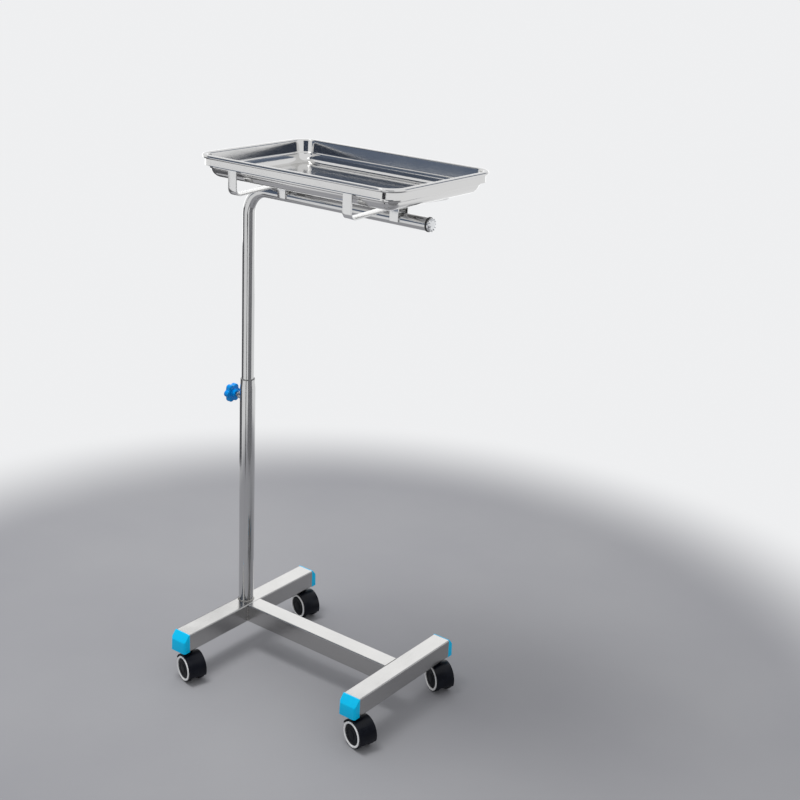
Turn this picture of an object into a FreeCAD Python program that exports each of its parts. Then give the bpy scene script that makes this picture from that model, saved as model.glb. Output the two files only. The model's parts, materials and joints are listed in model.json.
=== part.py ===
import FreeCAD, Part
import math
import os

# Height-adjustable instrument tray stand on four twin-wheel casters.
# Units are millimetres. Z is up and the floor is Z = 0.
# The column axis is X = Y = 0 while the pieces are made. X runs along the arm, from the
# column to the far leg, and Y runs along the legs. The last step moves every piece so that
# the middle of the whole object's box is over the origin.

V = FreeCAD.Vector
X_AXIS = V(1, 0, 0)
Y_AXIS = V(0, 1, 0)
Z_AXIS = V(0, 0, 1)

# Base frame, made of square tube
tube_side = 40.0
tube_wall = 1.5
tube_corner = 2.5
column_leg_length = 385.0
far_leg_length = 295.0
far_leg_x = 418.0
column_leg_x = 4.0
weld_leg = 2.0

# Blue end caps of the legs
cap_reach = 16.0
cap_slope_out = 15.0
cap_slope_down = 15.0
cap_flat = 2.5
cap_edge = 3.0
cap_spigot_length = 14.0
cap_spigot_wall = 2.0
cap_fit = 0.15

# Casters
wheel_diameter = 57.0
wheel_face = 20.3
wheel_inner_face = 7.6
wheel_shoulder = 3.0
wheel_gap = 0.7
web_gap = 0.7
ring_outer_radius = 26.5
ring_inner_radius = 22.0
ring_depth = 3.0
ring_proud = 0.4
hub_dome = 1.2
axle_diameter = 6.0
axle_cover = 3.0
hood_wall = 1.8
hood_setback = 0.8
hood_back_angle = 155.0
hood_front_angle = -22.0
head_diameter = 20.0
head_rise = 3.6
swivel_gap = 0.4
collar_thickness = 3.0
collar_diameter = 19.0
pin_diameter = 8.0
pin_length = 30.0
caster_trail = 16.0
caster_inset = 13.0
stem_diameter = 10.0
nut_across_flats = 17.0
nut_height = 8.0
stem_past_nut = 1.5
swivel_degrees = {
    "front_left": -17.5,
    "rear_left": -16.0,
    "front_right": -16.8,
    "rear_right": -27.3,
}

# Lower column tube, with its top end drawn in to a nose
column_diameter = 32.0
column_wall = 1.2
column_length = 506.0
nose_diameter = 29.2
nose_length = 8.0
nose_cone = 12.0

# Guide bush in the nose
bush_length = 30.0
bush_flange = 1.0

# Mast: one bent tube that is the upper column and the arm
mast_diameter = 25.0
mast_wall = 1.2
mast_length = 532.0
mast_engaged = 138.0
bend_radius = 50.0
arm_reach = 433.0

# Foot of the mast inside the column
foot_plug_length = 22.0
foot_flange = 2.0
foot_neck_diameter = 18.0
foot_ring_height = 9.4
foot_ring_play = 0.3
foot_screw_diameter = 5.0
foot_screw_length = 16.0
foot_washer_diameter = 23.0
foot_washer = 1.6
foot_head_diameter = 9.0
foot_head = 2.6

# Arm end plug
plug_collar_diameter = 27.0
plug_collar = 2.5
plug_cap_diameter = 24.0
plug_rim_length = 3.0
plug_dome_rise = 4.0
plug_spigot_diameter = 17.0
plug_spigot_length = 16.0

# Clamp screw and its knob
clamp_below_top = 40.5
boss_diameter = 15.0
boss_length = 7.0
thread_diameter = 8.0
wall_hole_diameter = 9.0
pad_diameter = 7.2
pad_thickness = 1.8
pad_gap = 0.3
pad_pin_diameter = 4.0
pad_pin_length = 5.0
knob_lobes = 6
knob_radius = 20.0
knob_lobe_radius = 7.0
knob_valley_radius = 5.0
knob_thickness = 12.0
knob_edge = 2.0
knob_hub_diameter = 17.0
knob_hub_length = 8.0
knob_from_boss = 6.5
knob_recess_radius = 8.0
knob_recess = 1.5
knob_screw_depth = 12.0

# Cradle: two flat straps with upturned ends, on saddles that straddle the arm
strap_from_column = 97.0
strap_from_arm_end = 67.0
strap_width = 20.0
strap_thickness = 3.0
strap_bend = 12.0
strap_lift = 9.5
strap_flat = 36.0
strap_dip = 5.5
strap_soft_bend = 60.0
saddle_wall = 2.5
saddle_below_axis = 4.0

# Tray, one drawn sheet with a turned-down apron
tray_length = 466.0
tray_width = 310.0
tray_start = 4.0
tray_depth = 43.0
tray_sheet = 1.0
tray_corner = 40.0
bead_radius = 3.5
bead_proud = 5.0
apron_depth = 20.0
rim_width = 11.0
rim_inner_radius = 1.8
wall_slope_in = 2.5
ledge_drop = 25.5
ledge_width = 3.0
ledge_fall = 1.5
bowl_slope_in = 21.0
rim_above_strap = 62.0
hook_from_edge = 6.1

# Clearances shared by several pairs
running_gap = 0.06
seat_gap = 0.05

# Heights and centres that follow from the sizes above
wheel_radius = wheel_diameter / 2
fender_inner = wheel_radius + wheel_gap
fender_outer = fender_inner + hood_wall
head_top = wheel_radius + fender_outer + head_rise
leg_bottom = head_top + swivel_gap + collar_thickness
leg_top = leg_bottom + tube_side
column_top = leg_top + column_length
column_radius = column_diameter / 2
column_bore = column_radius - column_wall
nose_radius = nose_diameter / 2
nose_bore = nose_radius - column_wall
mast_radius = mast_diameter / 2
mast_bore = mast_radius - mast_wall
mast_foot = column_top - mast_engaged
arm_z = mast_foot + mast_length
strap_bottom = arm_z + mast_radius + strap_lift
strap_top = strap_bottom + strap_thickness
rim_top = strap_bottom + rim_above_strap
clamp_z = column_top - clamp_below_top
tray_x = tray_start + tray_length / 2
strap_positions = {"left": strap_from_column, "right": arm_reach - strap_from_arm_end}


def box(x0, x1, y0, y1, z0, z1):
    """A box between two corners."""
    return Part.makeBox(x1 - x0, y1 - y0, z1 - z0, V(x0, y0, z0))


def cylinder(radius, start, end):
    """A round bar from one point to another."""
    along = end.sub(start)
    return Part.makeCylinder(radius, along.Length, start, along)


def turned(points, start, axis, side):
    """A body turned about an axis from (radius, height) points of its half section."""
    path = [start + side * radius + axis * height for radius, height in points]
    face = Part.Face(Part.makePolygon(path + [path[0]]))
    return face.revolve(start, axis, 360)


def write(name, shape):
    """Keep one finished piece under its node's name."""
    if not shape.isValid():
        raise ValueError(name + " is not a valid shape")
    pieces[name] = shape


def square_tube(length):
    """A square tube along X from X = 0, centred on Y and Z."""
    half = tube_side / 2
    outer = box(0, length, -half, half, -half, half)
    long_edges = [e for e in outer.Edges if e.tangentAt(0).cross(X_AXIS).Length < 1e-6]
    outer = outer.makeFillet(tube_corner, long_edges)
    inner = half - tube_wall
    return outer.cut(box(-1, length + 1, -inner, inner, -inner, inner))


def leg_tube(length, centre_x):
    """A leg along Y with a hole under each end for the caster's stem."""
    tube = square_tube(length)
    tube.rotate(V(0, 0, 0), Z_AXIS, 90)
    tube.translate(V(centre_x, -length / 2, leg_bottom + tube_side / 2))
    for side in (-1, 1):
        y = side * (length / 2 - caster_inset)
        below = V(centre_x, y, leg_bottom - 1)
        above = V(centre_x, y, leg_bottom + tube_wall + 1)
        tube = tube.cut(cylinder(stem_diameter / 2 + seat_gap, below, above))
    return tube


def end_cap(end_y, direction, centre_x):
    """A sloped cap that closes the end of a leg, with a spigot that is open round the stem nut."""
    half = tube_side / 2
    outline = [
        V(0, 0, leg_bottom),
        V(cap_reach, 0, leg_bottom),
        V(cap_slope_out, 0, leg_top - cap_slope_down),
        V(cap_flat, 0, leg_top),
        V(0, 0, leg_top),
    ]
    body = Part.Face(Part.makePolygon(outline + [outline[0]])).extrude(V(0, tube_side, 0))
    body.translate(V(0, -half, 0))
    corner_edges = []
    for edge in body.Edges:
        ends = [v.Point for v in edge.Vertexes]
        outer = all(p.x > cap_slope_out - 1e-6 for p in ends)
        if outer and abs(ends[0].y - ends[1].y) < 1e-6:
            corner_edges.append(edge)
    body = body.makeChamfer(cap_edge, corner_edges)
    inner = half - tube_wall - cap_fit
    hollow = inner - cap_spigot_wall
    middle = leg_bottom + half
    spigot = box(-cap_spigot_length, 0, -inner, inner, middle - inner, middle + inner)
    cavity_end = cap_reach - 2 * cap_spigot_wall
    cavity = box(-cap_spigot_length - 1, cavity_end, -hollow, hollow, leg_bottom - 1, middle + hollow)
    spigot = spigot.cut(cavity)
    pocket_end = cap_slope_out - cap_spigot_wall
    pocket_low = leg_bottom + cap_spigot_wall
    pocket_high = leg_top - cap_slope_down - cap_spigot_wall
    pocket = box(-1, pocket_end, -hollow, hollow, pocket_low, pocket_high)
    cap = body.cut(pocket).fuse(spigot).removeSplitter()
    cap.rotate(V(0, 0, 0), Z_AXIS, 90 * direction)
    cap.translate(V(centre_x, end_y, 0))
    return cap


def fillet_welds(runs):
    """Weld beads of triangular section, each laid along a straight inner corner."""
    beads = []
    for start, end, face_a, face_b in runs:
        corners = [start, start + face_a * weld_leg, start + face_b * weld_leg]
        section = Part.Face(Part.makePolygon(corners + [corners[0]]))
        beads.append(section.extrude(end.sub(start)))
    return Part.makeCompound(beads)


def cross_tube():
    """The tube that joins the two legs, square across between their inner faces."""
    start = column_leg_x + tube_side / 2
    end = far_leg_x - tube_side / 2
    tube = square_tube(end - start)
    tube.translate(V(start, 0, leg_bottom + tube_side / 2))
    return tube


def cross_welds():
    """Weld beads in the four upright corners where the cross tube meets the legs."""
    half = tube_side / 2
    low = leg_bottom + tube_corner
    high = leg_top - tube_corner
    runs = []
    for x, direction in ((column_leg_x + half, 1), (far_leg_x - half, -1)):
        for side in (-1, 1):
            start = V(x, side * half, low)
            runs.append((start, V(x, side * half, high), V(direction, 0, 0), V(0, side, 0)))
    return fillet_welds(runs)


def column_weld():
    """The ring of weld round the foot of the column."""
    half_section = [(column_radius, 0), (column_radius + weld_leg, 0), (column_radius, weld_leg)]
    return turned(half_section, V(0, 0, leg_top), Z_AXIS, X_AXIS)


def column_tube():
    """The lower column tube with its drawn-in nose and the hole for the clamp screw."""
    cone_foot = column_length - nose_length - nose_cone
    nose_foot = column_length - nose_length
    half_section = [
        (column_radius, 0),
        (column_radius, cone_foot),
        (nose_radius, nose_foot),
        (nose_radius, column_length),
        (nose_bore, column_length),
        (nose_bore, nose_foot),
        (column_bore, cone_foot),
        (column_bore, 0),
    ]
    tube = turned(half_section, V(0, 0, leg_top), Z_AXIS, X_AXIS)
    hole = cylinder(wall_hole_diameter / 2, V(-column_radius - 1, 0, clamp_z), V(0, 0, clamp_z))
    return tube.cut(hole)


def guide_bush():
    """The plastic liner in the nose that the mast slides in, with a thin flange on the rim."""
    bore = mast_radius + running_gap
    outside = nose_bore - seat_gap
    half_section = [
        (bore, -bush_length),
        (outside, -bush_length),
        (outside, 0),
        (nose_radius, 0),
        (nose_radius, bush_flange),
        (bore, bush_flange),
    ]
    return turned(half_section, V(0, 0, column_top), Z_AXIS, X_AXIS)


def clamp_boss():
    """The threaded boss that is welded to the column's side for the clamp screw."""
    outer_end = -column_radius - boss_length
    boss = cylinder(boss_diameter / 2, V(outer_end, 0, clamp_z), V(-column_bore, 0, clamp_z))
    low = V(0, 0, clamp_z - boss_diameter)
    high = V(0, 0, clamp_z + boss_diameter)
    boss = boss.cut(cylinder(column_radius, low, high))
    bore = thread_diameter / 2 + running_gap
    return boss.cut(cylinder(bore, V(outer_end - 1, 0, clamp_z), V(0, 0, clamp_z)))


def clamp_pad():
    """The pad at the screw's tip, which slides with the screw and doesn't turn."""
    face = -mast_radius - pad_gap
    back = face - pad_thickness
    pad = cylinder(pad_diameter / 2, V(back, 0, clamp_z), V(face, 0, clamp_z))
    pin = cylinder(pad_pin_diameter / 2, V(back - pad_pin_length, 0, clamp_z), V(back, 0, clamp_z))
    return pad.fuse(pin).removeSplitter()


def clamp_stud():
    """The screw, from the pad through the boss into the knob."""
    tip = -mast_radius - pad_gap - pad_thickness - pad_gap
    end = knob_inner_face() - knob_screw_depth
    stud = cylinder(thread_diameter / 2, V(end, 0, clamp_z), V(tip, 0, clamp_z))
    pocket_radius = pad_pin_diameter / 2 + running_gap
    pocket_end = tip - pad_pin_length - pad_gap
    return stud.cut(cylinder(pocket_radius, V(pocket_end, 0, clamp_z), V(tip + 1, 0, clamp_z)))


def knob_inner_face():
    """X of the knob hub's face that looks at the column."""
    return -column_radius - boss_length - knob_from_boss


def lobed_outline():
    """The knob's outline: round lobes joined by round valleys, every joint smooth."""
    lobe_centre = knob_radius - knob_lobe_radius
    half_step = math.pi / knob_lobes
    reach = knob_lobe_radius + knob_valley_radius
    across = lobe_centre * math.sin(half_step)
    valley_centre = lobe_centre * math.cos(half_step) + math.sqrt(reach ** 2 - across ** 2)

    def polar(radius, angle):
        return V(0, radius * math.cos(angle), radius * math.sin(angle))

    edges = []
    for lobe in range(knob_lobes):
        angle = 2 * half_step * lobe
        centre = polar(lobe_centre, angle)
        before = polar(valley_centre, angle - half_step)
        after = polar(valley_centre, angle + half_step)
        nearer = polar(lobe_centre, angle + 2 * half_step)
        to_before = centre + (before - centre) * (knob_lobe_radius / reach)
        to_after = centre + (after - centre) * (knob_lobe_radius / reach)
        to_next = nearer + (after - nearer) * (knob_lobe_radius / reach)
        valley_floor = polar(valley_centre - knob_valley_radius, angle + half_step)
        edges.append(Part.Arc(to_before, polar(knob_radius, angle), to_after).toShape())
        edges.append(Part.Arc(to_after, valley_floor, to_next).toShape())
    return Part.Wire(edges)


def clamp_knob():
    """The blue lobed knob with its hub and the shallow recess of its outer face."""
    inner = knob_inner_face()
    hub = cylinder(knob_hub_diameter / 2, V(inner - knob_hub_length, 0, clamp_z), V(inner, 0, clamp_z))
    head = Part.Face(lobed_outline()).extrude(V(-knob_thickness, 0, 0))
    rims = [e for e in head.Edges if abs(e.tangentAt(e.FirstParameter).x) < 1e-6]
    head = head.makeFillet(knob_edge, rims)
    head.translate(V(inner - knob_hub_length, 0, clamp_z))
    outer = inner - knob_hub_length - knob_thickness
    recess = cylinder(knob_recess_radius, V(outer - 1, 0, clamp_z), V(outer + knob_recess, 0, clamp_z))
    bore_end = inner - knob_screw_depth - seat_gap
    bore = cylinder(thread_diameter / 2 + seat_gap, V(bore_end, 0, clamp_z), V(inner + 1, 0, clamp_z))
    return head.fuse(hub).cut(recess).cut(bore).removeSplitter()


def mast_solid(radius):
    """A solid bar along the mast's bent centre line."""
    corner = V(0, 0, arm_z)
    bend_start = V(0, 0, arm_z - bend_radius)
    bend_end = V(bend_radius, 0, arm_z)
    chord = bend_radius * (1 - math.sqrt(0.5))
    bend_middle = corner + V(chord, 0, -chord)
    path = Part.Wire([
        Part.LineSegment(V(0, 0, mast_foot), bend_start).toShape(),
        Part.Arc(bend_start, bend_middle, bend_end).toShape(),
        Part.LineSegment(bend_end, V(arm_reach, 0, arm_z)).toShape(),
    ])
    section = Part.Wire([Part.makeCircle(radius, V(0, 0, mast_foot), Z_AXIS)])
    return path.makePipeShell([section], True, False)


def mast_tube():
    """The bent tube: upper column, bend and arm in one piece."""
    return mast_solid(mast_radius).cut(mast_solid(mast_bore))


def foot_plug():
    """The plug in the mast's foot, with the neck that the wear ring runs on."""
    neck_length = foot_ring_height + 2 * foot_ring_play
    half_section = [
        (foot_screw_diameter / 2 + seat_gap, foot_plug_length),
        (mast_bore - seat_gap, foot_plug_length),
        (mast_bore - seat_gap, 0),
        (mast_radius, 0),
        (mast_radius, -foot_flange),
        (foot_neck_diameter / 2, -foot_flange),
        (foot_neck_diameter / 2, -foot_flange - neck_length),
        (foot_screw_diameter / 2 + seat_gap, -foot_flange - neck_length),
    ]
    return turned(half_section, V(0, 0, mast_foot), Z_AXIS, X_AXIS)


def foot_ring():
    """The wear ring that slides in the column, free to turn on the plug's neck."""
    top = -foot_flange - foot_ring_play
    half_section = [
        (foot_neck_diameter / 2 + running_gap, top),
        (column_bore - running_gap, top),
        (column_bore - running_gap, top - foot_ring_height),
        (foot_neck_diameter / 2 + running_gap, top - foot_ring_height),
    ]
    return turned(half_section, V(0, 0, mast_foot), Z_AXIS, X_AXIS)


def foot_screw():
    """The screw with its washer that keeps the wear ring on the plug."""
    neck_foot = -foot_flange - foot_ring_height - 2 * foot_ring_play
    half_section = [
        (0, neck_foot + foot_screw_length),
        (foot_screw_diameter / 2, neck_foot + foot_screw_length),
        (foot_screw_diameter / 2, neck_foot),
        (foot_washer_diameter / 2, neck_foot),
        (foot_washer_diameter / 2, neck_foot - foot_washer),
        (foot_head_diameter / 2, neck_foot - foot_washer),
        (foot_head_diameter / 2, neck_foot - foot_washer - foot_head),
        (0, neck_foot - foot_washer - foot_head),
    ]
    return turned(half_section, V(0, 0, mast_foot), Z_AXIS, X_AXIS)


def arm_plug_collar():
    """The dark collar between the arm's end and its plug, with a sleeve inside the tube."""
    bore = plug_spigot_diameter / 2
    sleeve = mast_bore - seat_gap
    half_section = [
        (bore, -plug_spigot_length),
        (sleeve, -plug_spigot_length),
        (sleeve, 0),
        (plug_collar_diameter / 2, 0),
        (plug_collar_diameter / 2, plug_collar),
        (bore, plug_collar),
    ]
    return turned(half_section, V(arm_reach, 0, arm_z), X_AXIS, Z_AXIS)


def arm_plug():
    """The pale plug in the arm's end: a spigot in the tube, a short rim and a shallow dome."""
    spigot = plug_spigot_diameter / 2
    rim = plug_cap_diameter / 2
    dome_radius = (rim ** 2 + plug_dome_rise ** 2) / (2 * plug_dome_rise)
    face = plug_collar + plug_rim_length
    dome_centre = face + plug_dome_rise - dome_radius
    half_angle = math.asin(rim / dome_radius) / 2

    def at(along, radius):
        return V(arm_reach + along, 0, arm_z + radius)

    middle_along = dome_centre + dome_radius * math.cos(half_angle)
    dome_middle = at(middle_along, dome_radius * math.sin(half_angle))
    edges = [
        Part.makeLine(at(-plug_spigot_length, 0), at(-plug_spigot_length, spigot)),
        Part.makeLine(at(-plug_spigot_length, spigot), at(plug_collar, spigot)),
        Part.makeLine(at(plug_collar, spigot), at(plug_collar, rim)),
        Part.makeLine(at(plug_collar, rim), at(face, rim)),
        Part.Arc(at(face, rim), dome_middle, at(face + plug_dome_rise, 0)).toShape(),
        Part.makeLine(at(face + plug_dome_rise, 0), at(-plug_spigot_length, 0)),
    ]
    return Part.Face(Part.Wire(edges)).revolve(V(arm_reach, 0, arm_z), X_AXIS, 360)


def saddle(x):
    """An inverted channel that straddles the arm and carries one strap."""
    half = strap_width / 2
    inner = mast_radius
    outer = inner + saddle_wall
    low = arm_z - saddle_below_axis
    block = box(x - half, x + half, -outer, outer, low, strap_bottom)
    slot = box(x - half - 1, x + half + 1, -inner, inner, low - 1, strap_bottom - saddle_wall)
    return block.cut(slot)


def bent_line(points, radii):
    """A wire through the points, with an arc of the given radius at each inner corner."""
    edges = []
    start = points[0]
    for before, corner, after, radius in zip(points, points[1:], points[2:], radii):
        back = (before - corner).normalize()
        ahead = (after - corner).normalize()
        half = back.getAngle(ahead) / 2
        reach = radius / math.tan(half)
        bow = radius / math.sin(half) - radius
        middle = corner + (back + ahead).normalize() * bow
        edges.append(Part.makeLine(start, corner + back * reach))
        edges.append(Part.Arc(corner + back * reach, middle, corner + ahead * reach).toShape())
        start = corner + ahead * reach
    edges.append(Part.makeLine(start, points[-1]))
    return Part.Wire(edges)


def strap(x):
    """A flat strap that dips from the arm to both sides and turns up there into hooks."""
    hook_outer = tray_width / 2 - hook_from_edge
    hook_top = rim_top - tray_sheet
    low = strap_bottom - strap_dip
    line = bent_line(
        [
            V(x, -hook_outer, hook_top),
            V(x, -hook_outer, low),
            V(x, -strap_flat / 2, strap_bottom),
            V(x, strap_flat / 2, strap_bottom),
            V(x, hook_outer, low),
            V(x, hook_outer, hook_top),
        ],
        [strap_bend + strap_thickness, strap_soft_bend, strap_soft_bend, strap_bend + strap_thickness],
    )
    outline = line.makeOffset2D(-strap_thickness, 0, True, True)
    profile = Part.Face(outline.OuterWire)
    profile.translate(V(-strap_width / 2, 0, 0))
    return profile.extrude(V(strap_width, 0, 0))


def rounded_rectangle(inset, z):
    """The tray's outline seen from above, moved in by inset."""
    radius = tray_corner - inset
    x0 = tray_start + inset
    x1 = tray_start + tray_length - inset
    y1 = tray_width / 2 - inset
    y0 = -y1
    bow = radius * (1 - math.sqrt(0.5))
    return Part.Wire([
        Part.makeLine(V(x0 + radius, y0, z), V(x1 - radius, y0, z)),
        Part.Arc(V(x1 - radius, y0, z), V(x1 - bow, y0 + bow, z), V(x1, y0 + radius, z)).toShape(),
        Part.makeLine(V(x1, y0 + radius, z), V(x1, y1 - radius, z)),
        Part.Arc(V(x1, y1 - radius, z), V(x1 - bow, y1 - bow, z), V(x1 - radius, y1, z)).toShape(),
        Part.makeLine(V(x1 - radius, y1, z), V(x0 + radius, y1, z)),
        Part.Arc(V(x0 + radius, y1, z), V(x0 + bow, y1 - bow, z), V(x0, y1 - radius, z)).toShape(),
        Part.makeLine(V(x0, y1 - radius, z), V(x0, y0 + radius, z)),
        Part.Arc(V(x0, y0 + radius, z), V(x0 + bow, y0 + bow, z), V(x0 + radius, y0, z)).toShape(),
    ])


def tray_face_line():
    """The sheet's upper face in section, from the apron's foot over the rim to the floor."""
    diagonal = math.sqrt(0.5)

    def at(inset, drop):
        return V(tray_x, -tray_width / 2 + inset, rim_top - drop)

    neck_drop = bead_radius + math.sqrt(bead_radius ** 2 - (bead_radius - bead_proud) ** 2)
    rim_bow = rim_inner_radius * (1 - diagonal)
    ledge_inset = rim_width + wall_slope_in
    ledge_end = ledge_inset + ledge_width
    floor_inset = ledge_end + bowl_slope_in
    floor_drop = tray_depth - tray_sheet
    bowl_fall = floor_drop - ledge_drop
    bowl_radius = (bowl_slope_in ** 2 + bowl_fall ** 2) / (2 * bowl_fall)
    half_turn = math.asin(bowl_slope_in / bowl_radius) / 2
    bowl_inset = floor_inset - bowl_radius * math.sin(half_turn)
    bowl_drop = floor_drop - bowl_radius * (1 - math.cos(half_turn))
    edges = [
        Part.makeLine(at(bead_proud, apron_depth), at(bead_proud, neck_drop)),
        Part.Arc(at(bead_proud, neck_drop), at(0, bead_radius), at(bead_radius, 0)).toShape(),
        Part.makeLine(at(bead_radius, 0), at(rim_width - rim_inner_radius, 0)),
        Part.Arc(
            at(rim_width - rim_inner_radius, 0),
            at(rim_width - rim_bow, rim_bow),
            at(rim_width, rim_inner_radius),
        ).toShape(),
        Part.makeLine(at(rim_width, rim_inner_radius), at(ledge_inset, ledge_drop - ledge_fall)),
        Part.makeLine(at(ledge_inset, ledge_drop - ledge_fall), at(ledge_end, ledge_drop)),
        Part.Arc(
            at(ledge_end, ledge_drop),
            at(bowl_inset, bowl_drop),
            at(floor_inset, floor_drop),
        ).toShape(),
    ]
    return Part.Wire(edges), floor_inset


def tray():
    """The drawn tray: rolled rim, turned-down apron, stepped wall, round bowl and flat floor."""
    line, floor_inset = tray_face_line()
    section = line.makeOffset2D(tray_sheet, 0, True, True)
    shell = rounded_rectangle(0, rim_top).makePipeShell([section.OuterWire], True, True)
    floor = Part.Face(rounded_rectangle(floor_inset, rim_top - tray_depth)).extrude(V(0, 0, tray_sheet))
    return shell.fuse(floor).removeSplitter()


def in_caster_frame(shape, place):
    """Move a caster piece from its own frame to its place under a leg."""
    name, x, y = place
    shape = shape.copy()
    shape.rotate(V(0, 0, 0), Z_AXIS, swivel_degrees[name])
    shape.translate(V(x, y, 0))
    return shape


def fender_sector(inner, outer, half_width):
    """A curved wall round the axle from the hood's front edge to its back edge."""
    axle = V(caster_trail, -half_width, wheel_radius)
    front = math.radians(hood_front_angle)
    back = math.radians(hood_back_angle)
    middle = (front + back) / 2

    def at(radius, angle):
        return axle + V(radius * math.cos(angle), 0, radius * math.sin(angle))

    edges = [
        Part.makeLine(at(inner, front), at(outer, front)),
        Part.Arc(at(outer, front), at(outer, middle), at(outer, back)).toShape(),
        Part.makeLine(at(outer, back), at(inner, back)),
    ]
    if inner > 0:
        edges.append(Part.Arc(at(inner, back), at(inner, middle), at(inner, front)).toShape())
    return Part.Face(Part.Wire(edges)).extrude(V(0, 2 * half_width, 0))


def caster_hood():
    """The black moulded body of a caster: web between the wheels, fender over them and head."""
    web_half = wheel_inner_face - web_gap
    fender_half = wheel_face - hood_setback
    axle = V(caster_trail, 0, wheel_radius)
    web = cylinder(axle_diameter + hood_wall, axle - Y_AXIS * web_half, axle + Y_AXIS * web_half)
    web = web.fuse(fender_sector(0, fender_outer, web_half))
    fender = fender_sector(fender_inner, fender_outer, fender_half)
    head_foot = wheel_radius + axle_diameter
    head = cylinder(head_diameter / 2, V(0, 0, head_foot), V(0, 0, head_top))
    clearance = cylinder(fender_inner, axle - Y_AXIS * 2 * wheel_face, axle + Y_AXIS * 2 * wheel_face)
    far = 2 * wheel_diameter
    clearance = clearance.cut(box(-far, far, -web_half, web_half, -1, far))
    hood = web.fuse(fender).fuse(head.cut(clearance))
    pin_end = head_top - pin_length - swivel_gap
    hood = hood.cut(cylinder(pin_diameter / 2 + running_gap, V(0, 0, pin_end), V(0, 0, head_top + 1)))
    hood = hood.cut(cylinder(axle_diameter / 2, axle - Y_AXIS * wheel_face, axle + Y_AXIS * wheel_face))
    return hood.removeSplitter()


def caster_axle():
    """The steel axle that is pressed through the hood's web."""
    half = wheel_face - axle_cover - swivel_gap
    axle = V(caster_trail, 0, wheel_radius)
    return cylinder(axle_diameter / 2, axle - Y_AXIS * half, axle + Y_AXIS * half)


def caster_stem():
    """The swivel pin, its collar under the leg and the threaded stem above it."""
    half_section = [
        (0, head_top - pin_length),
        (pin_diameter / 2, head_top - pin_length),
        (pin_diameter / 2, leg_bottom - collar_thickness),
        (collar_diameter / 2, leg_bottom - collar_thickness),
        (collar_diameter / 2, leg_bottom),
        (stem_diameter / 2, leg_bottom),
        (stem_diameter / 2, leg_bottom + tube_wall + nut_height + stem_past_nut),
        (0, leg_bottom + tube_wall + nut_height + stem_past_nut),
    ]
    return turned(half_section, V(0, 0, 0), Z_AXIS, X_AXIS)


def stem_nut(x, y):
    """The hexagon nut inside the leg that holds a caster's stem."""
    corner = nut_across_flats / math.sqrt(3)
    low = leg_bottom + tube_wall
    turns = [math.radians(60 * side) for side in range(7)]
    points = [V(x + corner * math.cos(turn), y + corner * math.sin(turn), low) for turn in turns]
    nut = Part.Face(Part.makePolygon(points)).extrude(V(0, 0, nut_height))
    bore_radius = stem_diameter / 2 + seat_gap
    return nut.cut(cylinder(bore_radius, V(x, y, low - 1), V(x, y, low + nut_height + 1)))


def caster_wheel(side):
    """One wheel with its tread, its groove for the pale ring and its domed hub cover."""
    axle = V(caster_trail, 0, wheel_radius)
    bore = axle_diameter / 2 + running_gap
    groove = wheel_face - ring_depth
    half_section = [
        (bore, wheel_inner_face),
        (wheel_radius - wheel_shoulder, wheel_inner_face),
        (wheel_radius, wheel_inner_face + wheel_shoulder),
        (wheel_radius, wheel_face - wheel_shoulder),
        (ring_outer_radius + seat_gap, wheel_face - seat_gap),
        (ring_outer_radius + seat_gap, groove),
        (ring_inner_radius - seat_gap, groove),
        (ring_inner_radius - seat_gap, wheel_face - hub_dome),
        (ring_inner_radius / 2, wheel_face),
        (0, wheel_face + hub_dome / 3),
        (0, wheel_face - axle_cover),
        (bore, wheel_face - axle_cover),
    ]
    return turned(half_section, axle, Y_AXIS * side, X_AXIS)


def wheel_ring(side):
    """The pale trim ring in the wheel's outer face."""
    axle = V(caster_trail, 0, wheel_radius)
    groove = wheel_face - ring_depth
    half_section = [
        (ring_inner_radius, groove),
        (ring_outer_radius, groove),
        (ring_outer_radius, wheel_face),
        (ring_outer_radius - ring_proud, wheel_face + ring_proud),
        (ring_inner_radius + ring_proud, wheel_face + ring_proud),
        (ring_inner_radius, wheel_face),
    ]
    return turned(half_section, axle, Y_AXIS * side, X_AXIS)


# Every piece, in the column's frame
pieces = {}
corners = {
    "front_left": (column_leg_x, -column_leg_length / 2 + caster_inset),
    "rear_left": (column_leg_x, column_leg_length / 2 - caster_inset),
    "front_right": (far_leg_x, -far_leg_length / 2 + caster_inset),
    "rear_right": (far_leg_x, far_leg_length / 2 - caster_inset),
}

write("column_leg_tube", leg_tube(column_leg_length, column_leg_x))
write("far_leg_tube", leg_tube(far_leg_length, far_leg_x))
write("cross_tube", cross_tube())
write("cross_welds", cross_welds())
for name, (x, y) in corners.items():
    direction = -1 if y < 0 else 1
    end = y + direction * caster_inset
    write("end_cap_" + name, end_cap(end, direction, x))
write("column_tube", column_tube())
write("column_weld", column_weld())
write("guide_bush", guide_bush())
write("clamp_boss", clamp_boss())
write("stem_nuts", Part.makeCompound([stem_nut(x, y) for x, y in corners.values()]))

write("clamp_pad", clamp_pad())
write("clamp_stud", clamp_stud())
write("clamp_knob", clamp_knob())

write("foot_ring", foot_ring())
write("foot_plug", foot_plug())
write("foot_screw", foot_screw())
write("mast_tube", mast_tube())
write("arm_plug_collar", arm_plug_collar())
write("arm_plug", arm_plug())
for name, x in strap_positions.items():
    write("saddle_" + name, saddle(x))
    write("strap_" + name, strap(x))
write("tray", tray())

for name, (x, y) in corners.items():
    place = (name, x, y)
    write("caster_stem_" + name, in_caster_frame(caster_stem(), place))
    write("caster_hood_" + name, in_caster_frame(caster_hood(), place))
    write("caster_axle_" + name, in_caster_frame(caster_axle(), place))
    for side, label in ((-1, "outer"), (1, "inner")):
        write("wheel_" + label + "_" + name, in_caster_frame(caster_wheel(side), place))
        write("wheel_ring_" + label + "_" + name, in_caster_frame(wheel_ring(side), place))

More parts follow.
